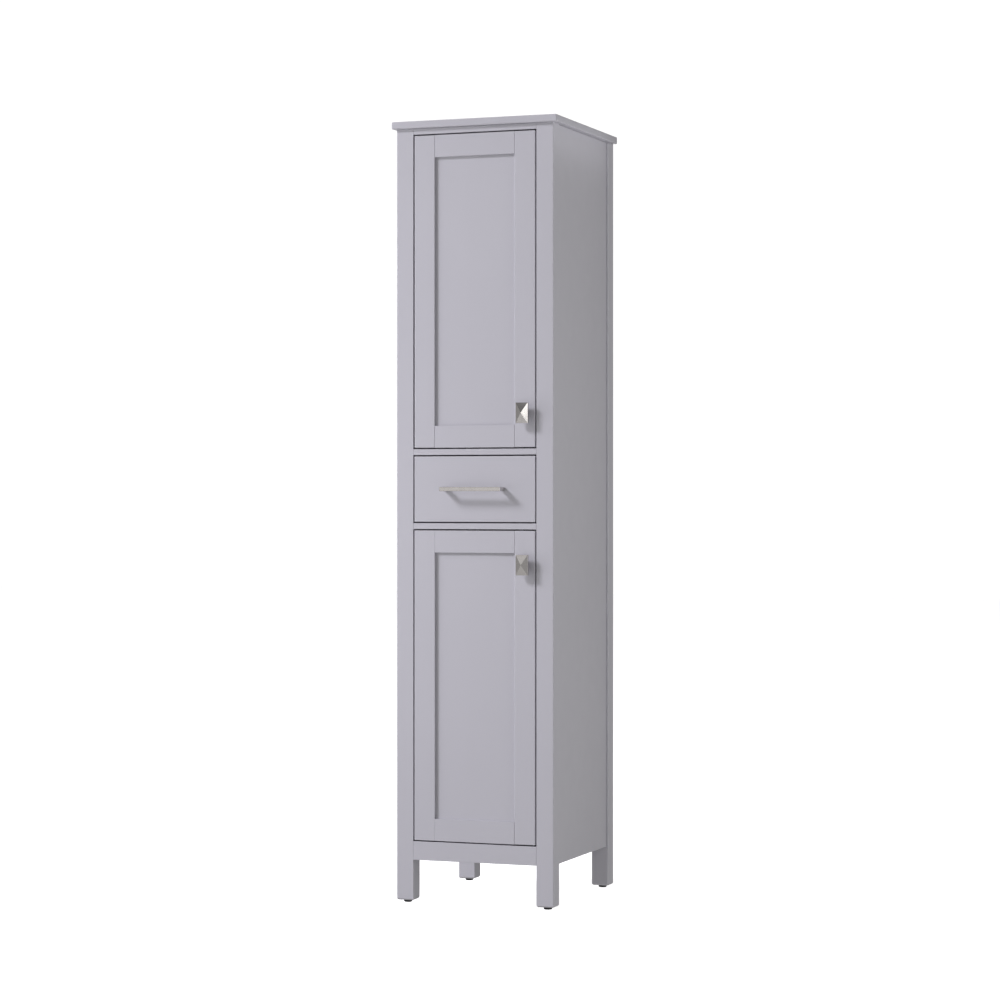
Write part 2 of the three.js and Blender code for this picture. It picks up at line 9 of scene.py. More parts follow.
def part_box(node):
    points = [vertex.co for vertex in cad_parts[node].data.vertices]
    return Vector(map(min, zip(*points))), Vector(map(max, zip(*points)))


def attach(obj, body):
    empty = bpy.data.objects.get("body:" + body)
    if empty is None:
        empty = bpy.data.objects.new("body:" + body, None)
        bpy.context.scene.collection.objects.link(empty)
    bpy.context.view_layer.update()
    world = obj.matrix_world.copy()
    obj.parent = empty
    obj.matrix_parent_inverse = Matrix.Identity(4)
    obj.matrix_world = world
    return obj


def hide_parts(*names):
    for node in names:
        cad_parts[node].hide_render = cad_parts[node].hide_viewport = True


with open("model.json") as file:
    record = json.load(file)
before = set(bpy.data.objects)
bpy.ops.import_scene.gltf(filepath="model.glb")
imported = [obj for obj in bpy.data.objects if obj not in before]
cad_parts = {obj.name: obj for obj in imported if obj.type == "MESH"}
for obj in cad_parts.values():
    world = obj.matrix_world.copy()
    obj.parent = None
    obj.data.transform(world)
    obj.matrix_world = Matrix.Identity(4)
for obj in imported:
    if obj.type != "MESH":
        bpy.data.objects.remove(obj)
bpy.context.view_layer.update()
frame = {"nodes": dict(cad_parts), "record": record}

NODES = frame["nodes"]
MM = 0.001
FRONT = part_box("post_front_left")[0].y
SIDES = {"left": -1, "right": 1}
ENDS = ("top", "bottom")
ROWS = ("front", "rear")
DOORS = ("upper_door", "lower_door")
SHELVES = ("upper_shelf", "lower_shelf")
FORWARD = Vector((0, -1, 0))
BACKWARD = Vector((0, 1, 0))
UP = Vector((0, 0, 1))

# edge roundings
POST_ROUNDING = 2.8 * MM
BOARD_ROUNDING = 0.7 * MM
SLAB_ROUNDING = 2.2 * MM
DOOR_ROUNDING = 1.4 * MM
METAL_ROUNDING = 0.3 * MM
PULL_ROUNDING = 0.9 * MM

# cleaning of CAD meshes before their edges are rounded
WELD_DISTANCE = 0.01 * MM
FLAT_ANGLE = math.radians(0.5)

# how far a piece made here stands off from, or sinks into, what it touches
SKIN = 0.05 * MM

# shelf pins
PIN_HOLE_SPACING = 32 * MM
PIN_HOLE_COUNT = 5
PIN_RADIUS = 2.5 * MM
PIN_LENGTH = 11 * MM
PIN_COLUMN_INSET = 45 * MM
PIN_COLLAR_RADIUS = 1.6 * PIN_RADIUS

# screw heads: radius and height
CUP_SCREW = (3.0 * MM, 1.0 * MM)
PLATE_SCREW = (3.2 * MM, 1.3 * MM)
STOP_SCREW = (2.6 * MM, 0.9 * MM)
RUNNER_SCREW = (3.2 * MM, 1.2 * MM)

# places of the hinge screws
CUP_SCREW_REACH = 20.5 * MM
PLATE_SCREW_REACH = 16 * MM
PLATE_SCREW_INSET = 8 * MM
HINGE_PLATE = 1.8 * MM

# bolts behind the knobs and the pull: radii of the washer and of the head
KNOB_BOLT = (6 * MM, 3.8 * MM)
PULL_BOLT = (5 * MM, 3.6 * MM)
WASHER_THICKNESS = 0.7 * MM
BOLT_HEAD_HEIGHT = 2.2 * MM
PULL_BOLT_INSET = 4 * MM

# door stops
STOP_DEPTH = 12 * MM
STOP_HALF_WIDTH = 11 * MM
STOP_HEIGHT = 16 * MM
BUMPER_ROOM = 1.6 * MM

# runners
RUNNER_SHEET = 1.2 * MM
BALL_RADIUS = 1.2 * MM
BALL_SPACING = 9 * MM
BALL_COUNT = 8
FIRST_BALL = 20 * MM
CAGE_MARGIN = 3 * MM
CAGE_HALF_WIDTH = 0.9 * MM
CAGE_HALF_THICKNESS = 0.25 * MM
INNER_ROW_REACH = 8.0 * MM
OUTER_ROW_REACH = 6.0 * MM

# back panel and feet
BRAD_SPACING = 68 * MM
FOOT_TRAVEL = 12 * MM


# ---------------------------------------------------------------- places taken from the frame
def middle(node):
    low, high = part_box(node)
    return (low + high) / 2


def inner_wall(way):
    """Where the inside face of a side panel stands; way is -1 on the left and 1 on the right."""
    return way * abs(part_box("side_panel_right")[0].x)


# ---------------------------------------------------------------- camera
def add_camera():
    """A level long lens half way up the cabinet, to its right and turned back towards it."""
    distance = 6.2668
    bearing = math.radians(21.2)
    heading = math.radians(20.67)
    eye_height = 0.9171
    camera = bpy.data.objects.new("camera", bpy.data.cameras.new("camera"))
    bpy.context.scene.collection.objects.link(camera)
    camera.location = (distance * math.sin(bearing), FRONT - distance * math.cos(bearing), eye_height)
    camera.rotation_euler = (math.radians(90), 0, heading)
    camera.data.lens = 100
    camera.data.sensor_width = 36
    bpy.context.scene.camera = camera


# ---------------------------------------------------------------- light and stage
def add_light(name, aim, bearing, rise, distance, width, height, brightness, colour):
    """A soft rectangle, bearing degrees to the right of straight ahead and rise degrees up from aim.

    brightness is the light's radiance, so it doesn't depend on its size.
    """
    turn = math.radians(bearing)
    lift = math.radians(rise)
    towards = Vector((math.sin(turn) * math.cos(lift), -math.cos(turn) * math.cos(lift), math.sin(lift)))
    data = bpy.data.lights.new(name, "AREA")
    data.shape = "RECTANGLE"
    data.size = width
    data.size_y = height
    data.energy = brightness * math.pi * width * height
    data.color = colour
    light = bpy.data.objects.new(name, data)
    bpy.context.scene.collection.objects.link(light)
    light.location = Vector(aim) + towards * distance
    light.rotation_euler = towards.to_track_quat("Z", "Y").to_euler()
    light.visible_camera = False
    return light


def add_left_lights():
    """The key, high on the left, and two low lights that open its shadows."""
    pull = middle("drawer_pull")
    add_light(
        "key", pull, bearing=-51, rise=35.5, distance=24.0,
        width=5.2, height=5.2, brightness=52.3, colour=(0.955, 0.943, 1.0),
    )
    left_strip = add_light(
        "left_strip", pull, bearing=-68, rise=9, distance=1.2,
        width=0.5, height=1.7, brightness=3.2, colour=(0.96, 0.95, 1.0),
    )
    left_strip.visible_glossy = False
    add_light(
        "low_card", middle("lower_door_panel"), bearing=-28, rise=0, distance=1.5,
        width=1.6, height=0.4, brightness=0.85, colour=(0.98, 0.97, 1.0),
    )


def add_cards():
    """A tall fill beside the right panel, and the cards that the front and its metal reflect."""
    lead = 0.35
    abreast = middle("side_panel_right") + FORWARD * lead
    add_light(
        "side_fill", abreast, bearing=90, rise=0, distance=1.2,
        width=0.9, height=2.5, brightness=1.3, colour=(1.0, 1.0, 0.99),
    )
    add_light(
        "front_card", middle("drawer_pull"), bearing=-22, rise=15, distance=3.2,
        width=1.3, height=1.9, brightness=0.46, colour=(1.0, 0.99, 0.97),
    )
    add_light(
        "right_card", middle("upper_door_knob"), bearing=32, rise=7, distance=3.0,
        width=0.8, height=0.55, brightness=2.3, colour=(1.0, 1.0, 0.98),
    )


def add_far_lights():
    """A thin strip under the slab on the right, and a fill behind the cabinet."""
    lead = 0.06
    drop = 0.025
    side = middle("side_panel_right")
    eaves = (side.x, side.y - lead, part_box("side_panel_right")[1].z - drop)
    eaves_strip = add_light(
        "eaves_strip", eaves, bearing=90, rise=0, distance=0.07,
        width=0.42, height=0.03, brightness=0.8, colour=(0.96, 0.95, 1.0),
    )
    eaves_strip.visible_glossy = False
    add_light(
        "rear_fill", middle("drawer_pull"), bearing=196, rise=18, distance=4.0,
        width=2.6, height=2.6, brightness=1.8, colour=(1.0, 1.0, 0.99),
    )


def add_world():
    """A grey room, brighter below than above, lights the part; only the camera sees a white backdrop."""
    world = bpy.data.worlds.new("studio")
    bpy.context.scene.world = world
    world.use_nodes = True
    tree = world.node_tree
    tree.nodes.clear()
    output = tree.nodes.new("ShaderNodeOutputWorld")
    mix = tree.nodes.new("ShaderNodeMixShader")
    path = tree.nodes.new("ShaderNodeLightPath")
    room = tree.nodes.new("ShaderNodeBackground")
    backdrop = tree.nodes.new("ShaderNodeBackground")
    where = tree.nodes.new("ShaderNodeTexCoord")
    height = tree.nodes.new("ShaderNodeSeparateXYZ")
    fade = tree.nodes.new("ShaderNodeMapRange")
    fade.inputs["From Min"].default_value = -0.45
    fade.inputs["From Max"].default_value = 0.6
    fade.inputs["To Min"].default_value = 0.5
    fade.inputs["To Max"].default_value = 0.12
    room.inputs["Color"].default_value = (1.0, 0.99, 0.975, 1)
    backdrop.inputs["Color"].default_value = (1, 1, 1, 1)
    backdrop.inputs["Strength"].default_value = 1.05
    tree.links.new(where.outputs["Generated"], height.inputs["Vector"])
    tree.links.new(height.outputs["Z"], fade.inputs["Value"])
    tree.links.new(fade.outputs["Result"], room.inputs["Strength"])
    tree.links.new(path.outputs["Is Camera Ray"], mix.inputs["Fac"])
    tree.links.new(room.outputs["Background"], mix.inputs[1])
    tree.links.new(backdrop.outputs["Background"], mix.inputs[2])
    tree.links.new(mix.outputs["Shader"], output.inputs["Surface"])


def add_floor():
    """A white floor, low enough that the feet can be screwed out without meeting it."""
    bm = bmesh.new()
    bmesh.ops.create_grid(bm, x_segments=1, y_segments=1, size=20)
    mesh = bpy.data.meshes.new("floor")
    bm.to_mesh(mesh)
    bm.free()
    floor = bpy.data.objects.new("floor", mesh)
    bpy.context.scene.collection.objects.link(floor)
    material = bpy.data.materials.new("pale_floor")
    material.use_nodes = True
    shader = material.node_tree.nodes["Principled BSDF"]
    shader.inputs["Base Color"].default_value = (0.8, 0.8, 0.8, 1)
    shader.inputs["Roughness"].default_value = 0.9
    shader.inputs["Emission Color"].default_value = (1, 1, 1, 1)
    shader.inputs["Emission Strength"].default_value = 0.8
    mesh.materials.append(material)
    floor.location.z = -FOOT_TRAVEL
    floor.visible_diffuse = False
    floor.visible_glossy = False


# ---------------------------------------------------------------- material helper
class Recipe:
    """A new material on a Principled shader, with short ways to add the nodes that shape it."""

    def __init__(self, name, metallic=0.0, specular=0.5):
        self.material = bpy.data.materials.new(name)
        self.material.use_nodes = True
        self.tree = self.material.node_tree
        self.shader = self.tree.nodes["Principled BSDF"]
        self.shader.inputs["Metallic"].default_value = metallic
        self.shader.inputs["Specular IOR Level"].default_value = specular
        self.where = self.tree.nodes.new("ShaderNodeTexCoord").outputs["Object"]

    def link(self, source, target):
        self.tree.links.new(source, target)

    def noise(self, scale, detail, stretch=(1, 1, 1)):
        """A noise with scale cells to the metre; a stretch below 1 draws it out along that axis."""
        mapping = self.tree.nodes.new("ShaderNodeMapping")
        mapping.inputs["Scale"].default_value = stretch
        noise = self.tree.nodes.new("ShaderNodeTexNoise")
        noise.inputs["Scale"].default_value = scale
        noise.inputs["Detail"].default_value = detail
        self.link(self.where, mapping.inputs["Vector"])
        self.link(mapping.outputs["Vector"], noise.inputs["Vector"])
        return noise.outputs["Fac"]

    def spread(self, pattern, low, high, start=0.3, end=0.7):
        """Maps a pattern, between start and end, to the range from low to high."""
        node = self.tree.nodes.new("ShaderNodeMapRange")
        node.inputs["From Min"].default_value = start
        node.inputs["From Max"].default_value = end
        node.inputs["To Min"].default_value = low
        node.inputs["To Max"].default_value = high
        self.link(pattern, node.inputs["Value"])
        return node.outputs["Result"]

    def sum(self, first, second, share):
        """first plus a share of second."""
        node = self.tree.nodes.new("ShaderNodeMath")
        node.operation = "MULTIPLY_ADD"
        node.inputs[1].default_value = share
        self.link(second, node.inputs[0])
        self.link(first, node.inputs[2])
        return node.outputs["Value"]

    def colour(self, pattern, first, second):
        """Blends the base colour from first to second along a 0 to 1 pattern."""
        ramp = self.tree.nodes.new("ShaderNodeValToRGB")
        ramp.color_ramp.elements[0].color = (*first, 1)
        ramp.color_ramp.elements[1].color = (*second, 1)
        self.link(pattern, ramp.inputs["Fac"])
        self.link(ramp.outputs["Color"], self.shader.inputs["Base Color"])

    def roughness(self, pattern):
        self.link(pattern, self.shader.inputs["Roughness"])

    def bump(self, pattern, depth, strength):
        """Raises the surface by a pattern, on top of any bump that is there already."""
        bump = self.tree.nodes.new("ShaderNodeBump")
        bump.inputs["Distance"].default_value = depth
        bump.inputs["Strength"].default_value = strength
        normal = self.shader.inputs["Normal"]
        if normal.is_linked:
            self.link(normal.links[0].from_socket, bump.inputs["Normal"])
        self.link(pattern, bump.inputs["Height"])
        self.link(bump.outputs["Normal"], normal)


# ---------------------------------------------------------------- materials
def grey_lacquer():
    """Sprayed satin lacquer: a slight drift in tone, orange peel and faint levelling waves."""
    recipe = Recipe("grey_lacquer", specular=0.45)
    drift = recipe.spread(recipe.noise(scale=2.2, detail=3), low=0, high=1)
    recipe.colour(drift, (0.462, 0.455, 0.498), (0.478, 0.471, 0.514))
    recipe.roughness(recipe.spread(recipe.noise(scale=26, detail=4), low=0.36, high=0.44))
    recipe.bump(recipe.noise(scale=650, detail=2), depth=0.03 * MM, strength=0.35)
    recipe.bump(recipe.noise(scale=45, detail=2), depth=0.1 * MM, strength=0.3)
    return recipe.material


def birch(name, grain):
    """Clear-coated birch with its grain along one axis: growth bands, fine pores and flecks."""
    recipe = Recipe(name, specular=0.45)
    bands = recipe.noise(scale=14, detail=6, stretch=grain)
    fine = recipe.noise(scale=120, detail=4, stretch=grain)
    pattern = recipe.spread(recipe.sum(bands, fine, share=0.35), low=0, high=1, start=0.45, end=0.95)
    recipe.colour(pattern, (0.74, 0.58, 0.39), (0.58, 0.42, 0.25))
    recipe.roughness(recipe.spread(fine, low=0.4, high=0.55))
    recipe.bump(fine, depth=0.08 * MM, strength=0.6)
    return recipe.material


def satin_nickel():
    """Warm nickel with a soft directional grain and faint handling marks."""
    recipe = Recipe("satin_nickel", metallic=1.0)
    smudge = recipe.noise(scale=60, detail=3)
    grain = recipe.noise(scale=2600, detail=2, stretch=(0.04, 1, 1))
    recipe.colour(smudge, (0.68, 0.655, 0.645), (0.65, 0.625, 0.615))
    recipe.roughness(recipe.spread(smudge, low=0.12, high=0.17))
    recipe.bump(grain, depth=0.004 * MM, strength=0.25)
    return recipe.material


def plated_steel(name, tint, grain):
    """Bright plating over pressed steel, with drawing lines and small changes in gloss."""
    recipe = Recipe(name, metallic=1.0)
    patches = recipe.noise(scale=45, detail=4)
    lines = recipe.noise(scale=2400, detail=2, stretch=grain)
    recipe.colour(patches, tint, tuple(0.94 * value for value in tint))
    recipe.roughness(recipe.spread(patches, low=0.27, high=0.33))
    recipe.bump(lines, depth=0.004 * MM, strength=0.3)
    return recipe.material


def black_nylon():
    """Moulded black nylon with a fine sparked texture."""
    recipe = Recipe("black_nylon")
    recipe.colour(recipe.noise(scale=80, detail=3), (0.010, 0.010, 0.011), (0.022, 0.022, 0.023))
    recipe.roughness(recipe.spread(recipe.noise(scale=300, detail=2), low=0.5, high=0.65))
    recipe.bump(recipe.noise(scale=1500, detail=2), depth=0.04 * MM, strength=0.6)
    return recipe.material


def clear_rubber():
    """The pale, slightly glossy rubber of small bumpers."""
    recipe = Recipe("clear_rubber")
    recipe.colour(recipe.noise(scale=90, detail=2), (0.60, 0.61, 0.62), (0.70, 0.71, 0.72))
    recipe.roughness(recipe.spread(recipe.noise(scale=400, detail=2), low=0.25, high=0.35))
    recipe.bump(recipe.noise(scale=900, detail=2), depth=0.02 * MM, strength=0.4)
    return recipe.material


# ---------------------------------------------------------------- pieces and blocks
def new_piece(name, bm, material, body, replaces=()):
    """Turns a bmesh, built in the row frame, into a piece that rides on a body."""
    bmesh.ops.recalc_face_normals(bm, faces=bm.faces)
    mesh = bpy.data.meshes.new(name)
    bm.to_mesh(mesh)
    bm.free()
    mesh.polygons.foreach_set("use_smooth", [True] * len(mesh.polygons))
    mesh.set_sharp_from_angle(angle=math.radians(30))
    mesh.materials.append(material)
    piece = bpy.data.objects.new(name, mesh)
    bpy.context.scene.collection.objects.link(piece)
    level = piece.modifiers.new("level_normals", "WEIGHTED_NORMAL")
    level.keep_sharp = True
    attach(piece, body)
    if replaces:
        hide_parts(*replaces)
    return piece


def add_block(bm, low, high):
    """A box between two corners; returns its vertices."""
    made = bmesh.ops.create_cube(bm, size=1)["verts"]
    low, high = Vector(low), Vector(high)
    spans = Matrix.Diagonal((*(high - low), 1))
    bmesh.ops.transform(bm, matrix=Matrix.Translation((low + high) / 2) @ spans, verts=made)
    return made


# ---------------------------------------------------------------- turned shapes and screws
def ring_of(bm, radius, height, steps):
    """A ring of vertices round the axis, or one vertex where the radius is 0."""
    if radius == 0:
        return [bm.verts.new((0, 0, height))]
    turns = (2 * math.pi * i / steps for i in range(steps))
    return [bm.verts.new((radius * math.cos(a), radius * math.sin(a), height)) for a in turns]


def cross_of(bm, reach, height, steps):
    """A plus-shaped outline with four arms, one vertex for each step round the circle."""
    waist = 0.32
    flank = 0.5
    tip_angle = 0.1
    flank_angle = 0.45
    quarter = math.pi / 2
    verts = []
    for i in range(steps):
        angle = 2 * math.pi * i / steps
        from_arm = abs((angle + quarter / 2) % quarter - quarter / 2)
        narrow = reach * (waist + flank * max(0, flank_angle - from_arm))
        length = reach if from_arm < tip_angle else narrow
        verts.append(bm.verts.new((length * math.cos(angle), length * math.sin(angle), height)))
    return verts


def join_rings(bm, lower, upper):
    """Faces from one ring to the next, where either may be a single vertex."""
    count = max(len(lower), len(upper))
    for i in range(count):
        j = (i + 1) % count
        below = [lower[i % len(lower)], lower[j % len(lower)]]
        above = [upper[j % len(upper)], upper[i % len(upper)]]
        bm.faces.new(dict.fromkeys(below + above))


def stand_rings(bm, rings, place, direction):
    """Joins each ring to the next, and stands them all on place, along direction."""
    for lower, upper in zip(rings, rings[1:]):
        join_rings(bm, lower, upper)
    verts = [vert for ring in rings for vert in ring]
    aim = Vector(direction).to_track_quat("Z", "Y").to_matrix().to_4x4()
    bmesh.ops.transform(bm, matrix=Matrix.Translation(place) @ aim, verts=verts)


def add_turned(bm, profile, place, direction, segments=32):
    """A turned shape along direction; profile holds (radius, distance) pairs."""
    rings = [ring_of(bm, radius, distance, segments) for radius, distance in profile]
    stand_rings(bm, rings, place, direction)


def add_screw(bm, place, direction, radius, height):
    """A low domed screw head with a cross recess, standing on place."""
    steps = 16
    recess_floor = 0.3 * height
    dome = [(radius, 0), (radius, 0.35 * height), (0.85 * radius, 0.8 * height), (0.62 * radius, height)]
    rings = [ring_of(bm, ring_radius, ring_height, steps) for ring_radius, ring_height in dome]
    recess_rim = cross_of(bm, 0.55 * radius, height, steps)
    recess_foot = cross_of(bm, 0.5 * radius, recess_floor, steps)
    base = ring_of(bm, 0, 0, steps)
    centre = ring_of(bm, 0, recess_floor, steps)
    stand_rings(bm, [base, *rings, recess_rim, recess_foot, centre], place, direction)


# ---------------------------------------------------------------- edges
def bevel(bm, edges, width, segments):
    bmesh.ops.bevel(
        bm, geom=list(edges), offset=width, segments=segments, profile=0.5,
        affect="EDGES", clamp_overlap=True,
    )


def sharp_edges(bm, shortest=0.0):
    """The edges between two faces that turn sharply, where they are longer than shortest."""
    limit = math.radians(32)
    turning = [e for e in bm.edges if e.is_manifold and e.calc_face_angle(0) > limit]
    return [e for e in turning if e.calc_length() > shortest]


def copied(node):
    """A cleaned copy of a CAD node's mesh, for a piece that replaces it."""
    bm = bmesh.new()
    bm.from_mesh(NODES[node].data)
    bmesh.ops.remove_doubles(bm, verts=bm.verts, dist=WELD_DISTANCE)
    bmesh.ops.dissolve_limit(bm, angle_limit=FLAT_ANGLE, verts=bm.verts, edges=bm.edges)
    return bm


def soften(node, width, segments=2):
    """Rounds the sharp edges of a CAD node with modifiers, which leave its own mesh alone."""
    thing = NODES[node]
    weld = thing.modifiers.new("weld", "WELD")
    weld.merge_threshold = WELD_DISTANCE
    flat = thing.modifiers.new("flat", "DECIMATE")
    flat.decimate_type = "DISSOLVE"
    flat.angle_limit = FLAT_ANGLE
    rounding = thing.modifiers.new("rounding", "BEVEL")
    rounding.width = width
    rounding.segments = segments
    rounding.limit_method = "ANGLE"
    rounding.angle_limit = math.radians(35)


# ---------------------------------------------------------------- carried-over nodes
def paint(node, material):
    for slot in NODES[node].material_slots:
        slot.material = material


def rounding_for(node):
    if node == "top_panel":
        return SLAB_ROUNDING
    return DOOR_ROUNDING if "_door_" in node else BOARD_ROUNDING


def dress_nodes(looks):
    """Gives every node its material, and softens the edges of the wooden ones and the pull."""
    for row in frame["record"]["subparts"]:
        node, slot = row["node"], row["material_slot"]
        paint(node, looks[slot])
        if slot == "painted_wood" and not node.startswith("post"):
            soften(node, rounding_for(node))
        elif slot == "drawer_wood":
            soften(node, BOARD_ROUNDING)
    paint("drawer_back", looks["cross_grain"])
    soften("drawer_pull", PULL_ROUNDING, segments=3)


# ---------------------------------------------------------------- posts
def add_post(node, lacquer):
    """The post again, with its outer upright edges planed round and its other edges eased."""
    shortest_upright = 1.0
    shortest_eased = 5 * MM
    bm = copied(node)
    outward = math.copysign(1, middle(node).x)
    inner_x = min(abs(corner.x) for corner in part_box(node))
    uprights = [e for e in bm.edges if abs(e.verts[0].co.z - e.verts[1].co.z) > shortest_upright]
    outer = [e for e in uprights if outward * e.verts[0].co.x > inner_x + MM]
    bevel(bm, outer, POST_ROUNDING, segments=5)
    bevel(bm, sharp_edges(bm, shortest_eased), BOARD_ROUNDING, segments=2)
    new_piece(f"{node}_wood", bm, lacquer, "carcass", [node])


def add_posts(lacquer):
    for side in SIDES:
        for row in ROWS:
            add_post(f"post_{row}_{side}", lacquer)


# ---------------------------------------------------------------- knobs
def add_knob(door, nickel):
    """A crisp cast head with four facets on a turned stem that flares where it meets the door."""
    node = f"{door}_knob"
    bm = copied(node)
    low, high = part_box(node)
    centre = middle(node)
    margin = 2 * MM
    head_half = (high.z - low.z) / 2
    stem_end = [v for v in bm.verts if high.y - v.co.y < margin]
    stem_radius = max(abs(v.co.x - centre.x) for v in stem_end)
    head_back = max(v.co.y for v in bm.verts if abs(v.co.z - centre.z) > 0.9 * head_half)
    bmesh.ops.delete(bm, geom=stem_end, context="VERTS")
    behind = [v for v in bm.verts if v.co.y > head_back - margin]
    stem_root = [v for v in behind if abs(v.co.z - centre.z) < 0.6 * head_half]
    bmesh.ops.delete(bm, geom=stem_root, context="VERTS")
    bmesh.ops.contextual_create(bm, geom=[e for e in bm.edges if e.is_boundary])
    round_head(bm)
    reach = high.y - head_back
    flare = 1.25 * stem_radius
    profile = [(0, 0), (flare, 0), (flare, 0.8 * MM), (stem_radius, 2.2 * MM)]
    profile += [(stem_radius, reach), (0, reach)]
    add_turned(bm, profile, Vector((centre.x, high.y, centre.z)), FORWARD, segments=48)
    new_piece(f"{node}_cast", bm, nickel, door, [node])


def round_head(bm):
    """Rounds the knob's rim, and then, more finely, the ridges between its facets."""
    flattest_ridge = 0.3
    steepest_ridge = 0.56
    bevel(bm, sharp_edges(bm), METAL_ROUNDING, segments=3)
    ridges = [e for e in bm.edges if flattest_ridge < e.calc_face_angle(0) < steepest_ridge]
    bevel(bm, ridges, 0.5 * METAL_ROUNDING, segments=2)


# ---------------------------------------------------------------- levelling feet
def add_pad(bm, base, radius, height):
    """The foot's round pad, narrower where it meets the floor."""
    pad = [(0, 0), (0.8 * radius, 0), (0.9 * radius, 0.3 * MM), (radius, 1.2 * MM)]
    pad += [(radius, height - 0.8 * MM), (0.94 * radius, height), (0, height)]
    add_turned(bm, pad, base, UP, segments=48)


def add_ribs(bm, base, radius, pad_height):
    """A grip of fine upright ribs round the pad, which reach just as far out as it does."""
    count = 36
    rib_radius = 0.34 * MM
    ring_radius = radius - 0.35 * MM
    rib = [(0, 1.4 * MM), (rib_radius, 1.6 * MM)]
    rib += [(rib_radius, pad_height - 1.2 * MM), (0, pad_height - 1.0 * MM)]
    for i in range(count):
        turn = 2 * math.pi * i / count
        spot = base + Vector((math.cos(turn), math.sin(turn), 0)) * ring_radius
        add_turned(bm, rib, spot, UP, segments=6)


def add_thread(bm, base, low, high):
    """The stud above the pad, with a rolled thread shown as rings."""
    radius = 3 * MM
    root = 0.86 * radius
    pitch = 1.0 * MM
    thread = [(0, low - SKIN)]
    for i in range(int((high - low) / pitch)):
        valley = low + i * pitch
        thread += [(root, valley), (radius, valley + 0.5 * pitch)]
    thread += [(root, high - SKIN), (0, high - SKIN)]
    add_turned(bm, thread, base, UP, segments=24)


def add_foot(node, nylon):
    """A moulded pad with a grip of fine ribs, and a stud with a rolled thread."""
    low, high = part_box(node)
    centre = middle(node)
    base = Vector((centre.x, centre.y, low.z))
    radius = (high.x - low.x) / 2
    pad_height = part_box("post_front_left")[0].z - 0.2 * MM
    bm = bmesh.new()
    add_pad(bm, base, radius, pad_height)
    add_ribs(bm, base, radius, pad_height)
    add_thread(bm, base, pad_height, high.z - low.z)
    body = node.replace("levelling_", "")
    new_piece(f"{node}_moulded", bm, nylon, body, [node])


def add_feet(nylon):
    for row in ROWS:
        for side in SIDES:
            add_foot(f"levelling_foot_{row}_{side}", nylon)


# ---------------------------------------------------------------- hinge screws and bolts
def add_hinge_screws(door, end, steel):
    """Two screws in the cup's flange, on the door, and two in the plate, on the post."""
    cup = middle(f"{door}_hinge_cup_{end}")
    cup_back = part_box(f"{door}_hinge_cup_{end}")[1].y
    plate_low, plate_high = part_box(f"{door}_hinge_arm_{end}")
    flange = bmesh.new()
    plate = bmesh.new()
    for way in (-1, 1):
        place = Vector((cup.x, cup_back, cup.z + way * CUP_SCREW_REACH))
        add_screw(flange, place, BACKWARD, *CUP_SCREW)
        height = (plate_low.z + plate_high.z) / 2 + way * PLATE_SCREW_REACH
        place = Vector((plate_low.x + HINGE_PLATE, plate_low.y + PLATE_SCREW_INSET, height))
        add_screw(plate, place, (1, 0, 0), *PLATE_SCREW)
    new_piece(f"{door}_hinge_screws_{end}", flange, steel, door)
    new_piece(f"{door}_plate_screws_{end}", plate, steel, "carcass")


def add_bolt(bm, place, washer_radius, head_radius):
    """A washer against the back of a board, and a domed head on it."""
    washer = [(0, 0), (washer_radius, 0), (washer_radius, WASHER_THICKNESS), (0, WASHER_THICKNESS)]
    add_turned(bm, washer, place, BACKWARD)
    add_screw(bm, place + BACKWARD * WASHER_THICKNESS, BACKWARD, head_radius, BOLT_HEAD_HEIGHT)


def add_bolts(steel):
    """The bolts that hold the knobs and the pull, seen from inside."""
    for door in DOORS:
        bm = bmesh.new()
        knob = middle(f"{door}_knob")
        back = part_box(f"{door}_stile_right")[1].y
        add_bolt(bm, Vector((knob.x, back, knob.z)), *KNOB_BOLT)
        new_piece(f"{door}_knob_bolt", bm, steel, door)
    bm = bmesh.new()
    low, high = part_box("drawer_pull")
    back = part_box("drawer_front")[1].y
    for x in (low.x + PULL_BOLT_INSET, high.x - PULL_BOLT_INSET):
        add_bolt(bm, Vector((x, back, middle("drawer_pull").z)), *PULL_BOLT)
    new_piece("pull_bolts", bm, steel, "drawer")


# ---------------------------------------------------------------- shelf pins and their holes
def pin_columns(shelf):
    low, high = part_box(shelf)
    return (low.y + PIN_COLUMN_INSET, high.y - PIN_COLUMN_INSET)


def add_shelf_pins(shelf, steel):
    """Four spoon pins under a shelf: a collar and peg at the panel, and a flat that it rests on."""
    bm = bmesh.new()
    shelf_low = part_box(shelf)[0].z
    height = shelf_low - SKIN - PIN_COLLAR_RADIUS
    pin = [(0, 0), (PIN_COLLAR_RADIUS, 0), (PIN_COLLAR_RADIUS, MM), (PIN_RADIUS, 1.4 * MM)]
    pin += [(PIN_RADIUS, PIN_LENGTH - MM), (0.8 * PIN_RADIUS, PIN_LENGTH), (0, PIN_LENGTH)]
    for way in SIDES.values():
        wall = inner_wall(way)
        near, far = sorted((wall - way * 1.4 * MM, wall - way * PIN_LENGTH))
        for y in pin_columns(shelf):
            add_turned(bm, pin, Vector((wall, y, height)), (-way, 0, 0), segments=24)
            low = (near, y - PIN_RADIUS, height)
            high = (far, y + PIN_RADIUS, shelf_low - SKIN)
            made = add_block(bm, low, high)
            bevel(bm, {e for v in made for e in v.link_edges}, 0.4 * MM, segments=2)
    new_piece(f"{shelf}_pins", bm, steel, "carcass")


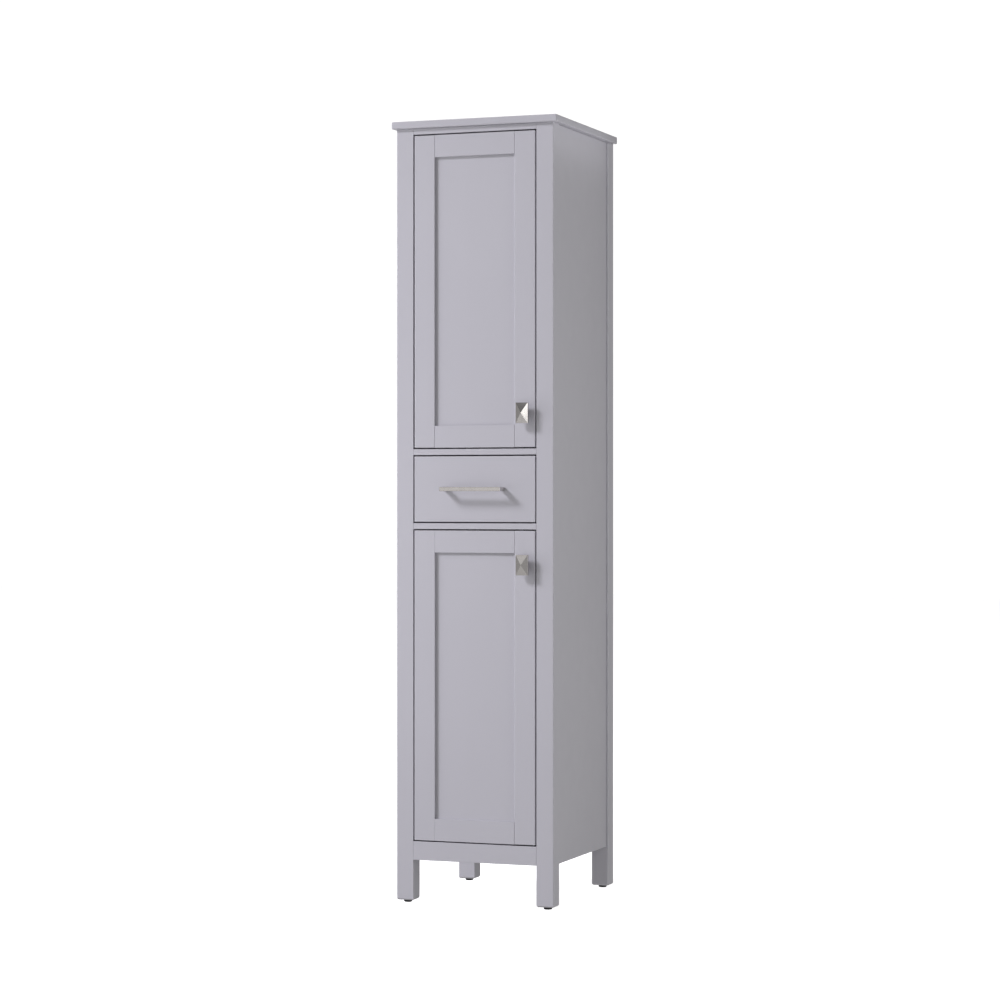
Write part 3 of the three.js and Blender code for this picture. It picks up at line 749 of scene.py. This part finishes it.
def add_sleeve(bm, place, direction):
    """A thin plated ring round a pin hole; its profile closes on itself."""
    profile = [(PIN_RADIUS, SKIN), (1.45 * PIN_RADIUS, 0), (1.4 * PIN_RADIUS, 0.4 * MM)]
    profile += [(1.1 * PIN_RADIUS, 0.5 * MM), (PIN_RADIUS, 0.3 * MM), (PIN_RADIUS, SKIN)]
    add_turned(bm, profile, place, direction, segments=20)
    bmesh.ops.remove_doubles(bm, verts=bm.verts, dist=0.001 * MM)


def add_pin_holes(shelf, looks):
    """Rows of spare pin sockets above and below each pin, each a plated sleeve round a black disc that
    is painted shade for the dark inside of the hole.
    """
    sleeves = bmesh.new()
    hole_shade_discs = bmesh.new()
    # a thin black disc flush with the wall: painted shade in place of the hole's dark inside
    disc = [(0, -SKIN), (PIN_RADIUS, -SKIN), (PIN_RADIUS, SKIN), (0, 2 * SKIN)]
    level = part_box(shelf)[0].z - PIN_COLLAR_RADIUS
    spare = [i for i in range(-PIN_HOLE_COUNT, PIN_HOLE_COUNT + 1) if i != 0]
    for way in SIDES.values():
        for y in pin_columns(shelf):
            for i in spare:
                place = Vector((inner_wall(way), y, level + i * PIN_HOLE_SPACING))
                add_sleeve(sleeves, place, (-way, 0, 0))
                add_turned(hole_shade_discs, disc, place, (-way, 0, 0), segments=20)
    new_piece(f"{shelf}_pin_sleeves", sleeves, looks["hinge_steel"], "carcass")
    # the black nylon on these discs paints the shade inside each hole
    new_piece(f"{shelf}_pin_hole_shade", hole_shade_discs, looks["foot_plastic"], "carcass")


# ---------------------------------------------------------------- door stops
def add_door_stop(door, board, height, way, looks):
    """A small block under or on a board, with a clear bumper that the closed door meets."""
    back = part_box(f"{door}_stile_right")[1].y
    x = middle(f"{door}_stile_right").x
    face = back + BUMPER_ROOM
    near, far = sorted((height, height + way * STOP_HEIGHT))
    block = bmesh.new()
    add_block(block, (x - STOP_HALF_WIDTH, face, near), (x + STOP_HALF_WIDTH, face + STOP_DEPTH, far))
    bevel(block, sharp_edges(block), MM, segments=3)
    for shift in (-0.5 * STOP_HALF_WIDTH, 0.5 * STOP_HALF_WIDTH):
        place = Vector((x + shift, face + 0.5 * STOP_DEPTH, height + way * STOP_HEIGHT))
        add_screw(block, place, (0, 0, way), *STOP_SCREW)
    new_piece(f"{board}_door_stop", block, looks["foot_plastic"], "carcass")
    bumper = bmesh.new()
    dome = [(0, 0), (4.4 * MM, 0), (4.2 * MM, 0.7 * MM), (3.2 * MM, 1.2 * MM), (0, 1.4 * MM)]
    add_turned(bumper, dome, Vector((x, face, height + way * 0.55 * STOP_HEIGHT)), FORWARD)
    new_piece(f"{board}_door_bumper", bumper, looks["rubber"], "carcass")


def add_door_stops(looks):
    add_door_stop("upper_door", "sub_top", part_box("sub_top")[0].z, -1, looks)
    add_door_stop("upper_door", "upper_divider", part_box("upper_divider")[1].z, 1, looks)
    add_door_stop("lower_door", "lower_divider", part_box("lower_divider")[0].z, -1, looks)
    add_door_stop("lower_door", "bottom_panel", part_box("bottom_panel")[1].z, 1, looks)


# ---------------------------------------------------------------- runners
def add_ball_row(bm, x, start, height):
    """A row of balls in line with the runner, in a thin flat cage."""
    for i in range(BALL_COUNT):
        place = Vector((x, start + FIRST_BALL + i * BALL_SPACING, height))
        ball = bmesh.ops.create_icosphere(bm, subdivisions=2, radius=BALL_RADIUS)["verts"]
        bmesh.ops.translate(bm, vec=place, verts=ball)
    cage_start = start + FIRST_BALL - CAGE_MARGIN
    cage_end = start + FIRST_BALL + CAGE_MARGIN + (BALL_COUNT - 1) * BALL_SPACING
    low = (x - CAGE_HALF_WIDTH, cage_start, height - CAGE_HALF_THICKNESS)
    high = (x + CAGE_HALF_WIDTH, cage_end, height + CAGE_HALF_THICKNESS)
    add_block(bm, low, high)


def add_runner_balls(side, steel):
    """A row of balls between each flange of the middle runner and the flanges inside and outside it."""
    low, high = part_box(f"runner_middle_{side}")
    inner_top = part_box(f"runner_inner_{side}")[1].z
    outer_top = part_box(f"runner_outer_{side}")[1].z
    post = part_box("post_front_right")[0].x
    centre = (low.z + high.z) / 2
    rows = (
        (INNER_ROW_REACH, (inner_top + high.z - RUNNER_SHEET) / 2 - centre),
        (OUTER_ROW_REACH, (high.z + outer_top - RUNNER_SHEET) / 2 - centre),
    )
    bm = bmesh.new()
    for reach, rise in rows:
        for up in (-1, 1):
            add_ball_row(bm, SIDES[side] * (post - reach), low.y, centre + up * rise)
    new_piece(f"runner_balls_{side}", bm, steel, f"middle_runner_{side}")


def add_runner_screws(side, steel):
    """Three screws through the outer runner into its cleat."""
    way = SIDES[side]
    low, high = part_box(f"runner_outer_{side}")
    web = way * (abs(high.x if way > 0 else low.x) - RUNNER_SHEET)
    bm = bmesh.new()
    for share in (0.1, 0.5, 0.9):
        place = Vector((web, low.y + share * (high.y - low.y), (low.z + high.z) / 2))
        add_screw(bm, place, (-way, 0, 0), *RUNNER_SCREW)
    new_piece(f"runner_screws_{side}", bm, steel, "carcass")


# ---------------------------------------------------------------- back panel
def add_back_brads(steel):
    """Flat brad heads that fix the back panel to each board and rail it crosses."""
    crossed = (
        "sub_top", "anchor_rail", "upper_divider",
        "lower_divider", "bottom_panel", "rear_bottom_rail",
    )
    steps = (-2, -1, 0, 1, 2)
    head = [(0, 0), (1.8 * MM, 0), (1.7 * MM, 0.35 * MM), (0, 0.45 * MM)]
    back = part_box("back_panel")[1].y
    bm = bmesh.new()
    for board in crossed:
        for i in steps:
            place = Vector((i * BRAD_SPACING, back, middle(board).z))
            add_turned(bm, head, place, BACKWARD, segments=16)
    new_piece("back_panel_brads", bm, steel, "carcass")


def make_looks():
    """The materials, under the names of their slots, with two more: cross_grain and rubber."""
    return {
        "painted_wood": grey_lacquer(),
        "drawer_wood": birch("birch_long_grain", (1, 0.06, 1)),
        "cross_grain": birch("birch_cross_grain", (0.06, 1, 1)),
        "satin_nickel": satin_nickel(),
        "hinge_steel": plated_steel("nickel_plate", (0.66, 0.655, 0.64), (1, 1, 0.08)),
        "runner_steel": plated_steel("zinc_plate", (0.58, 0.60, 0.63), (1, 0.05, 1)),
        "foot_plastic": black_nylon(),
        "rubber": clear_rubber(),
    }


def build():
    looks = make_looks()
    dress_nodes(looks)
    add_posts(looks["painted_wood"])
    for door in DOORS:
        add_knob(door, looks["satin_nickel"])
        for end in ENDS:
            add_hinge_screws(door, end, looks["hinge_steel"])
    add_feet(looks["foot_plastic"])
    add_bolts(looks["hinge_steel"])
    for shelf in SHELVES:
        add_shelf_pins(shelf, looks["hinge_steel"])
        add_pin_holes(shelf, looks)
    add_door_stops(looks)
    for side in SIDES:
        add_runner_balls(side, looks["runner_steel"])
        add_runner_screws(side, looks["runner_steel"])
    add_back_brads(looks["hinge_steel"])


add_camera()
add_world()
add_floor()
add_left_lights()
add_cards()
add_far_lights()
bpy.context.scene.view_settings.view_transform = "Standard"
build()
